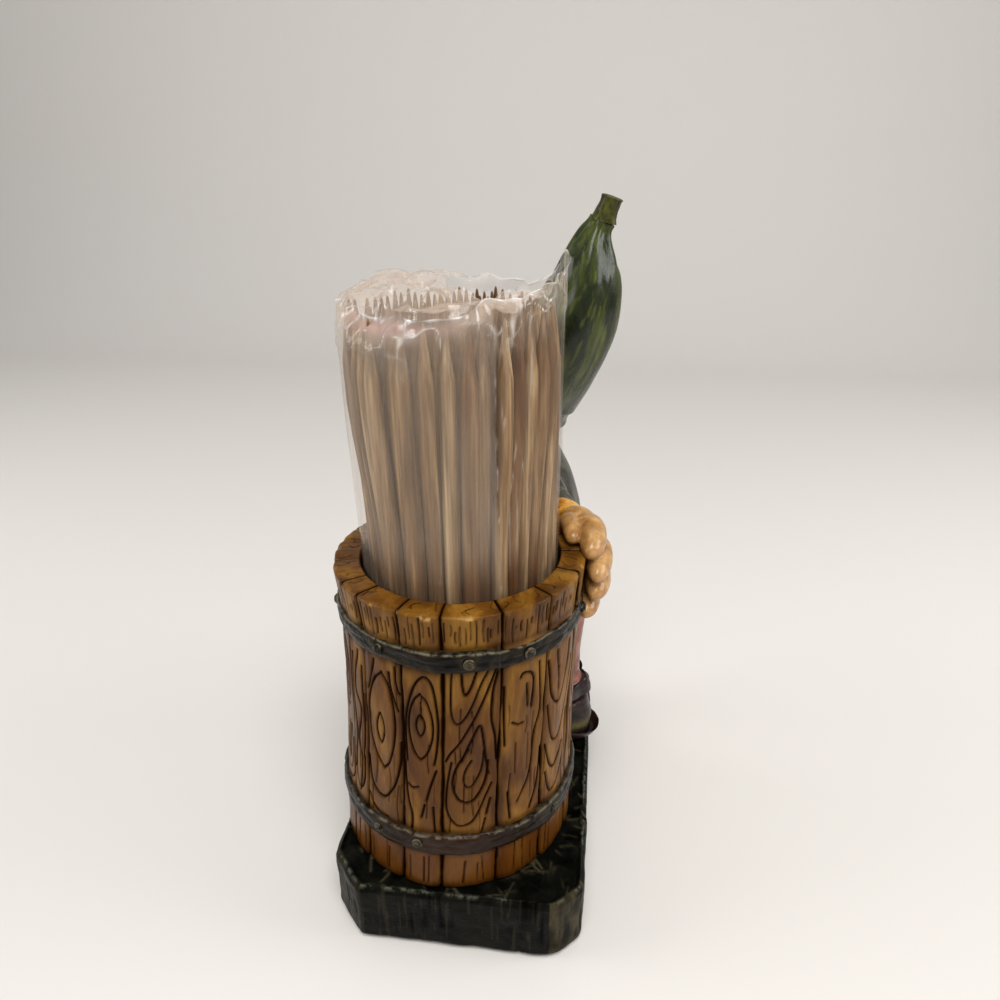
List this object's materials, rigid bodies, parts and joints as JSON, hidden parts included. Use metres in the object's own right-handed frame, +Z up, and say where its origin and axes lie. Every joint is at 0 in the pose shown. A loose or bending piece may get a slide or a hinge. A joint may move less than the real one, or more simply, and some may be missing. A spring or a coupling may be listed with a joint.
{
  "type": "toothpick dispenser",
  "caption": "Toothpick holder: an open wooden-look barrel with a film-sleeved bundle of toothpicks, held at the rim by a capped garden figure on a slab base.",
  "frame": {"origin": "on the table plane, on the axis of the barrel, in the underside of the base slab", "axes": "+Z up along the barrel's axis; the figure stands behind the barrel at +Y and faces -X"},
  "size_m": [0.0387, 0.059, 0.0968],
  "materials": {
    "base_paint": "gloss paint over cast resin, dry-brushed edges",
    "stave_paint": "gloss honey-brown paint with dark wash in carved grain",
    "floor_paint": "brown painted cast resin",
    "hoop_paint": "gloss near-black paint",
    "clear_film": "clear crinkled plastic film",
    "toothpick_wood": "bare pale wood, darker at the points",
    "boot_paint": "gloss dark purple-brown paint",
    "boot_cuff_paint": "gloss dark purple-brown paint",
    "trouser_paint": "satin dusty-red paint",
    "coat_paint": "satin grey paint",
    "cuff_paint": "gloss yellow-orange paint",
    "skin_paint": "gloss pale peach paint",
    "beard_paint": "satin off-white paint",
    "cap_paint": "gloss dark green paint with lighter streaks",
    "stem_paint": "gloss olive paint"
  },
  "bodies": {
    "figurine": {"base_slab": "base_paint", "barrel_floor": "floor_paint", "upper_hoop": "hoop_paint", "lower_hoop": "hoop_paint", "hoop_rivets": "hoop_paint", "stave_01": "stave_paint", "stave_02": "stave_paint", "stave_03": "stave_paint", "stave_04": "stave_paint", "stave_05": "stave_paint", "stave_06": "stave_paint", "stave_07": "stave_paint", "stave_08": "stave_paint", "stave_09": "stave_paint", "stave_10": "stave_paint", "stave_11": "stave_paint", "stave_12": "stave_paint", "stave_13": "stave_paint", "stave_14": "stave_paint", "stave_15": "stave_paint", "stave_16": "stave_paint", "stave_17": "stave_paint", "stave_18": "stave_paint", "boot_left": "boot_paint", "boot_right": "boot_paint", "boot_cuff_left": "boot_cuff_paint", "boot_cuff_right": "boot_cuff_paint", "trouser_left": "trouser_paint", "trouser_right": "trouser_paint", "coat": "coat_paint", "sleeve_left": "coat_paint", "sleeve_right": "coat_paint", "shirt_cuff_left": "cuff_paint", "shirt_cuff_right": "cuff_paint", "hand_left": "skin_paint", "hand_right": "skin_paint", "head": "skin_paint", "beard": "beard_paint", "pepper_cap": "cap_paint", "cap_stem": "stem_paint"},
    "bundle": {"film_sleeve": "clear_film", "toothpick_row_01": "toothpick_wood", "toothpick_row_02": "toothpick_wood", "toothpick_row_03": "toothpick_wood", "toothpick_row_04": "toothpick_wood", "toothpick_row_05": "toothpick_wood", "toothpick_row_06": "toothpick_wood", "toothpick_row_07": "toothpick_wood", "toothpick_row_08": "toothpick_wood", "toothpick_row_09": "toothpick_wood", "toothpick_row_10": "toothpick_wood", "toothpick_row_11": "toothpick_wood", "toothpick_row_12": "toothpick_wood", "toothpick_row_13": "toothpick_wood"},
    "toothpick": {"single_toothpick": "toothpick_wood"}
  },
  "joints": [
    {"name": "bundle_lift", "type": "slide", "parent": "figurine", "child": "bundle", "axis": [0, 0, 1], "range_m": [0, 0.078]},
    {"name": "toothpick_draw", "type": "slide", "parent": "bundle", "child": "toothpick", "axis": [0, 0, 1], "range_m": [0, 0.072]}
  ]
}
